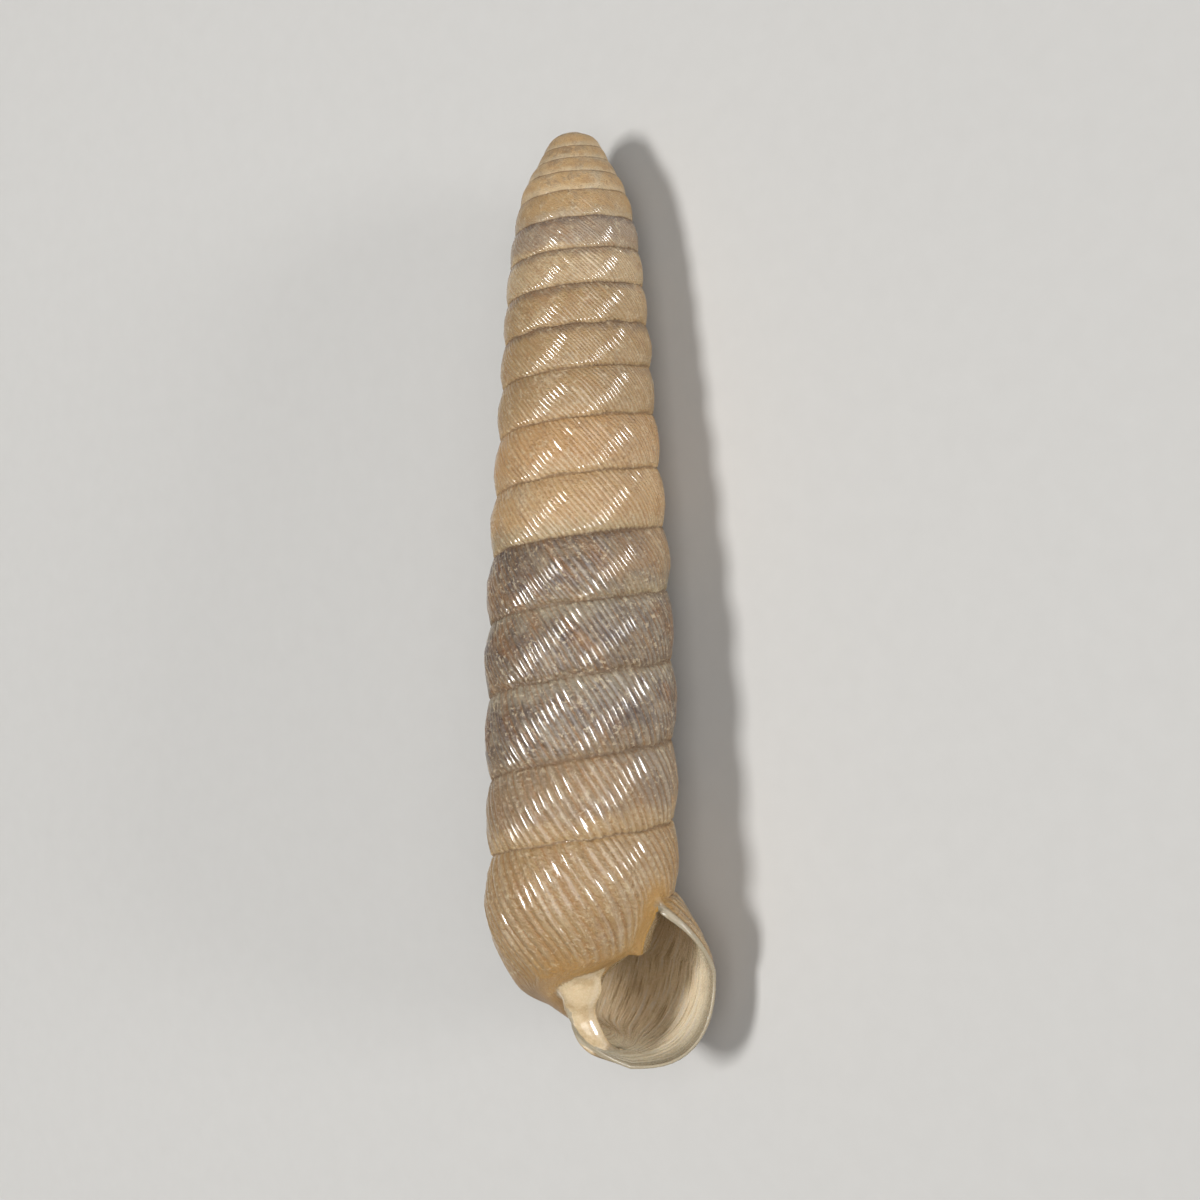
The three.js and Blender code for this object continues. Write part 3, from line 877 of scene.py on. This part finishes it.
class Horn(Finish):
    """The shell's finish: banded by age, streaked along its growth lines, worn and glossy.

    Lengths are millimetres. The two numbers after a noise, height or distance are the limits
    between which a mask rises, and limits that fall give a mask that is 1 below them.
    """

    def __init__(self):
        super().__init__("shell_horn")
        self.growth = self.node("ShaderNodeUVMap", {"uv_map": "growth"}, {})
        split = self.node("ShaderNodeSeparateXYZ", {}, {"Vector": self.growth}).socket.node
        self.turn, self.height = (Amount(self, split.outputs[name]) for name in ("X", "Y"))
        place = self.node("ShaderNodeTexCoord", {}, {}, "Object")
        self.place = self.stretched(place, (1 / MM, 1 / MM, 1 / MM))
        self.crest = self.number("crest")
        self.callus = self.number("callus")
        self.lip = self.number("lip")
        self.inside = self.height > INSIDE_HEIGHT - 0.5
        self.whorl = 1 - self.number("open_side")  # 1 where it is a plain whorl between two seams

        self.clouds = self.noise(self.place, 0.3, 2.0, 0.5, 0.4)
        self.blotches = self.noise(self.place, 0.62, 4.0, 0.66, 0.7)
        self.mottle = self.noise(self.place, 1.7, 6.0, 0.74, 0.25)
        self.fine = self.noise(self.place, 5.5, 3.0, 0.65)
        self.streaks = self.along_lines(24.0, 1.1, 3.0, 0.62)
        self.thin_streaks = self.along_lines(120.0, 3.5, 3.0, 0.62)
        self.inner_streaks = self.along_lines(130.0, 9.0, 3.0, 0.65)

        uneven_height = self.height + self.blotchy(0.7) + self.mottled(0.3)
        # the lower edge of each whorl: it shifts the age colour there, and carries a pale band that is
        # partly a painted highlight on the bulge
        self.above_seam = self.rises(uneven_height, 0.6, 0.95) * self.whorl
        self.below_seam = self.rises(uneven_height, 0.3, 0.04) * self.whorl
        self.haze = self.rises(uneven_height, 0.62, 1.0) * self.whorl
        self.near_seam = self.math("MINIMUM", self.height, 1 - self.height)
        close = self.near_seam + self.grainy(0.05) + self.mottled(0.03)
        self.seam_line = self.rises(close, 0.045, 0.005) * self.whorl
        aged = self.turn + (self.clouds - 0.5) * 1.3 + self.mottled(0.35)
        self.aged = aged + self.above_seam * 0.55
        self.grey = self.years(12.1, 12.6, 14.85, 15.35)

        self.specks = self.rises(self.fine + self.mottled(0.5), 0.56, 0.68)
        self.pits = self.rises(self.fine + self.blotchy(0.5), 0.43, 0.31)
        self.golden = self.rises(self.callus + self.blotchy(0.9), 1.7, 0.25)
        near_ribbon = self.rises(self.callus + self.grainy(0.2), 0.24, 0.04)
        self.pad = near_ribbon * self.rises(self.height + self.mottled(0.4), 1.5, 1.8)

    def along_lines(self, per_turn, down, detail, rough):
        """Noise that is drawn out along the growth lines."""
        return self.noise(self.stretched(self.growth, (per_turn, down, 0)), 1.0, detail, rough)

    def blotchy(self, amount):
        return (self.blotches - 0.5) * amount

    def mottled(self, amount):
        return (self.mottle - 0.5) * amount

    def grainy(self, amount):
        return (self.fine - 0.5) * amount

    def years(self, start, full, fading, end):
        """1 on the part of the shell that grew between two turns."""
        return self.rises(self.aged, start, full) * self.rises(self.aged, end, fading)

    def age_colour(self):
        """The horn's own colour, which changes as the shell grows."""
        last = LIP_TURN + 1
        stops = [(turn / last, colour) for turn, colour in GROWTH_COLOURS]
        return self.node("ShaderNodeValToRGB", {"stops": stops}, {"Fac": self.aged * (1 / last)})

    def grey_whorls(self, colour):
        """Purple and pale patches over brown, and faintly on the other whorls."""
        grey = self.grey
        faint = 0.2 + grey * 0.8
        patches = self.noise(self.place, 0.42, 3.0, 0.6, 1.2)
        warm = self.rises(self.streaks + (self.clouds - 0.5) * 0.8, 0.5, 0.66)
        return self.painted(
            colour,
            (GREY_TAN, grey * self.rises(self.blotches, 0.49, 0.62) * 0.8),
            (PURPLE_GREY, grey * self.rises(patches, 0.5, 0.62) * 0.5),
            (PALE_GREY, grey * self.rises(patches, 0.44, 0.34) * 0.5),
            (WARM_SHADE, grey * warm * 0.4),
            (PURPLE_GREY, faint * self.rises(self.mottle, 0.51, 0.63) * 0.78),
            (PALE_GREY, faint * self.rises(self.mottle, 0.475, 0.36) * 0.66),
        )

    def seam_shades(self, colour):
        """Under each seam the shell is greyer and duller, and above it paler, partly a painted
        highlight where the whorl bulges.
        """
        purple = self.years(4.4, 5.2, 8.6, 9.6)
        pale = self.years(12.9, 13.5, 15.0, 15.5)
        hazy = self.rises(self.turn, 11.0, 11.5) * self.rises(self.turn, 12.7, 12.3)
        return self.painted(
            colour,
            (PURPLE_GREY, self.below_seam * (0.12 + purple * 0.45)),
            (PALE_GREY, self.below_seam * pale * 0.8),
            (PALE_HAZE, self.haze * hazy * 0.6),
            # paler above each seam: partly a pale band of the horn, partly a painted highlight where
            # the whorl bulges toward the light
            (PALE_HONEY, self.above_seam * (0.3 - self.grey * 0.15)),
        )

    def young_tip(self, colour):
        """The first whorls are worn: greyer in places and chalky in others, and paler above each seam,
        partly a painted highlight.
        """
        young = self.rises(self.turn, 5.5, 3.5)
        chalky = self.rises(self.blotches + self.grainy(0.6), 0.5, 0.36)
        return self.painted(
            colour,
            (GREY_TAN, young * self.rises(self.mottle, 0.48, 0.6) * 0.5),
            (CHALK, young * chalky * 0.35),
            # paler above each seam on the young whorls, partly a painted highlight on the bulge
            (CHALK, self.above_seam * young * 0.4),
        )

    def wear(self, colour):
        """Streaks along the growth lines, worn chalky crests, stained valleys, specks and pits."""
        grey = self.grey
        stains = self.rises(self.blotches, 0.58, 0.68) * self.rises(self.mottle, 0.46, 0.56)
        ribbed = self.rises(self.turn, 3.5, 6.0) * (1 - self.inside)
        valley = self.rises(self.crest, 0.3, 0.0) * ribbed
        valley_streaks = self.rises(self.thin_streaks, 0.42, 0.7)
        crest_streaks = self.rises(self.thin_streaks, 0.46, 0.66)
        smudges = self.rises(self.mottle + self.blotchy(0.5), 0.46, 0.36)
        return self.painted(
            colour,
            (CHALK, self.rises(self.blotches, 0.44, 0.32) * (0.28 - grey * 0.2)),
            (WARM_SHADE, self.rises(self.streaks, 0.5, 0.72) * 0.3),
            (CHALK, self.rises(self.streaks, 0.44, 0.28) * 0.2),
            (WARM_SHADE, stains * (0.45 - grey * 0.3)),
            (WARM_SHADE, valley * (0.3 + valley_streaks * 0.36)),
            (CHALK, self.crest * crest_streaks * 0.32),
            (CHALK, self.specks * (0.36 + grey * 0.14)),
            (DARK_SHADE, self.pits * (0.3 + grey * 0.16)),
            (WARM_SHADE, smudges * (1 - grey) * 0.3),
            (DARK_SHADE, self.seam_line * 0.55),
        )

    def mouth_edge(self, colour):
        """The callus beside the mouth, the pad on the columella and the lip's edge."""
        shaded = self.rises(self.blotches + self.mottled(0.6), 0.42, 0.66)
        rim = self.rises(self.lip + self.mottled(0.2), -0.28, -0.03) * (1 - self.pad)
        return self.painted(
            colour,
            (GOLD, self.golden * 0.62),
            (self.painted(CREAM, (PAD_SHADE, shaded)), self.pad * 0.9),
            (LIP_CREAM, rim * 0.85),
        )

    def inner_colour(self):
        """Cream behind the lip, partly painted light through the thin wall, browner and streaked
        further in, partly painted shade, and dark on the body wall, which is painted shade.
        """
        # browner deeper in: partly the horn's own colour, partly painted shade deep in the hollow
        deep = self.rises(self.lip + self.blotchy(1.6), 0.5, 4.2)
        wide_streaks = self.along_lines(44.0, 4.0, 3.0, 0.65)
        dark_streaks = self.rises(self.inner_streaks, 0.45, 0.7)
        by_lip = self.rises(self.lip + self.mottled(0.4), 1.5, 0.1)
        on_body = self.rises(self.height, 3.44, 3.38)
        # painted shade on the body wall just inside the mouth's inner edge
        shaded = self.rises(self.callus, 0.03, 0.1) * self.rises(self.callus, 2.6, 1.2)
        return self.painted(
            # pale cream near the lip, partly painted light that comes through the thin wall
            INSIDE_CREAM,
            (INSIDE_BROWN, deep),
            (INSIDE_BROWN, self.rises(wide_streaks, 0.46, 0.7) * 0.5),
            # dark growth streaks, stronger deeper in, where they are partly painted shade
            (INSIDE_STREAK_AND_SHADE, dark_streaks * (0.28 + deep * 0.55)),
            (INSIDE_GREY, self.rises(self.inner_streaks, 0.48, 0.36) * 0.75),
            (LIP_CREAM, by_lip * 0.85),
            # painted shade deep in the hollow
            (INSIDE_STREAK_AND_SHADE, self.rises(self.lip, 3.0, 4.8) * 0.4),
            # painted shade on the body wall inside the mouth
            (INSIDE_STREAK_AND_SHADE, on_body * shaded * 0.85),
            (GOLD, on_body * self.rises(self.callus, 0.2, 0.08)),
        )

    def colour(self):
        """All the layers of colour, outside and inside."""
        colour = self.age_colour()
        for layer in (self.grey_whorls, self.seam_shades, self.young_tip, self.wear, self.mouth_edge):
            colour = layer(colour)
        return self.painted(colour, (self.inner_colour(), self.inside))

    def gloss(self):
        """The clear glossy skin is left on the ribs' crests, the pad and the callus."""
        polished = self.rises(self.crest, 0.12, 0.45) * self.rises(self.mottle, 0.72, 0.56)
        polished = polished * (1 - self.rises(self.near_seam, 0.09, 0.05) * self.whorl)
        return 0.06 + (polished * 0.9 + self.pad * 0.9 + self.golden * 0.2) * (1 - self.inside)

    def finished(self):
        """The material, with its shader."""
        smooth = self.math("MAXIMUM", self.inside, self.pad)
        dull = self.specks * 0.15 + self.seam_line * 0.3 + self.pits * 0.15
        knots = self.along_lines(130.0, 22.0, 2.0, 0.6) * 1.2
        grain = (knots + self.fine * 0.6 + self.mottle * 0.6) * (1 - smooth * 0.75)
        surface = self.node("ShaderNodeBsdfPrincipled", {}, {
            "Base Color": self.colour(),
            "Roughness": 0.42 + dull + self.below_seam * 0.05 - smooth * 0.15,
            "Normal": self.node("ShaderNodeBump", {}, {
                "Strength": 1.0,
                "Distance": GRAIN_DEPTH * MM,
                "Height": grain + self.inner_streaks * self.inside * 0.9,
            }),
            "IOR": 1.5,
            "Coat Weight": self.gloss(),
            "Coat Roughness": 0.125,
            "Coat IOR": 1.75,
            "Subsurface Weight": 0.15,
            "Subsurface Radius": (1.0, 0.6, 0.35),
            "Subsurface Scale": LIGHT_SPREAD * MM,
        })
        self.node("ShaderNodeOutputMaterial", {}, {"Surface": surface})
        return self.material


def floor_finish():
    """Matt pale paper with a hardly visible tooth."""
    finish = Finish("pale_paper")
    place = finish.node("ShaderNodeTexCoord", {}, {}, "Object")
    tooth = finish.noise(place, 900.0, 3.0, 0.6)
    colour = finish.painted(PAPER, (PAPER_SHADE, tooth))
    surface = finish.node("ShaderNodeBsdfPrincipled", {}, {"Base Color": colour, "Roughness": 0.85})
    finish.node("ShaderNodeOutputMaterial", {}, {"Surface": surface})
    return finish.material


def place_camera(placing):
    """The camera looks at the side with the mouth, and is turned with the shell."""
    toward = Vector((0, -math.sin(TILT), math.cos(TILT)))
    right = Vector((1, 0, 0))
    up = toward.cross(right)
    lean_right = right * math.cos(LEAN) - up * math.sin(LEAN)
    lean_up = up * math.cos(LEAN) + right * math.sin(LEAN)
    place = TARGET + toward * DISTANCE + lean_right * ASIDE
    turned = placing.to_3x3().normalized()
    axes = Matrix([turned @ lean_right, turned @ lean_up, turned @ toward]).transposed()
    camera = new_object("camera", bpy.data.cameras.new("camera"))
    camera.matrix_world = Matrix.Translation(placing @ place) @ axes.to_4x4()
    camera.data.lens = LENS
    camera.data.clip_start = NEAREST_SEEN
    bpy.context.scene.camera = camera


def place_lamp(name, azimuth, elevation, distance, size, power):
    """A soft lamp that looks at the shell."""
    light = bpy.data.lights.new(name, "AREA")
    light.shape = "RECTANGLE"
    light.size, light.size_y = size
    light.energy = power
    lamp = new_object(name, light)
    azimuth = math.radians(azimuth)
    elevation = math.radians(elevation)
    level = math.cos(elevation)
    away = Vector((level * math.cos(azimuth), level * math.sin(azimuth), math.sin(elevation)))
    lamp.location = away * distance
    lamp.rotation_euler = away.to_track_quat("Z", "Y").to_euler()


def lay_floor():
    """A wide pale floor under the shell."""
    mesh = bpy.data.meshes.new("floor")
    corners = [(x * FLOOR_HALF, y * FLOOR_HALF, low.z) for x, y in ((-1, -1), (1, -1), (1, 1), (-1, 1))]
    mesh.from_pydata(corners, [], [(0, 1, 2, 3)])
    mesh.materials.append(floor_finish())
    new_object("floor", mesh)


def light_room():
    """A faint even glow, and the lamps."""
    world = bpy.data.worlds.new("studio")
    bpy.context.scene.world = world
    world.use_nodes = True
    background = world.node_tree.nodes["Background"]
    background.inputs["Color"].default_value = (1, 1, 1, 1)
    background.inputs["Strength"].default_value = ROOM_GLOW
    for name, setting in LAMPS.items():
        place_lamp(name, *setting)


shell = whole_shell()
placing = lay_down(shell)
shell.data.materials.clear()
shell.data.materials.append(Horn().finished())
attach(shell, "root")
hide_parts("shell")

place_camera(placing)
light_room()
lay_floor()
bpy.context.scene.view_settings.view_transform = "Standard"
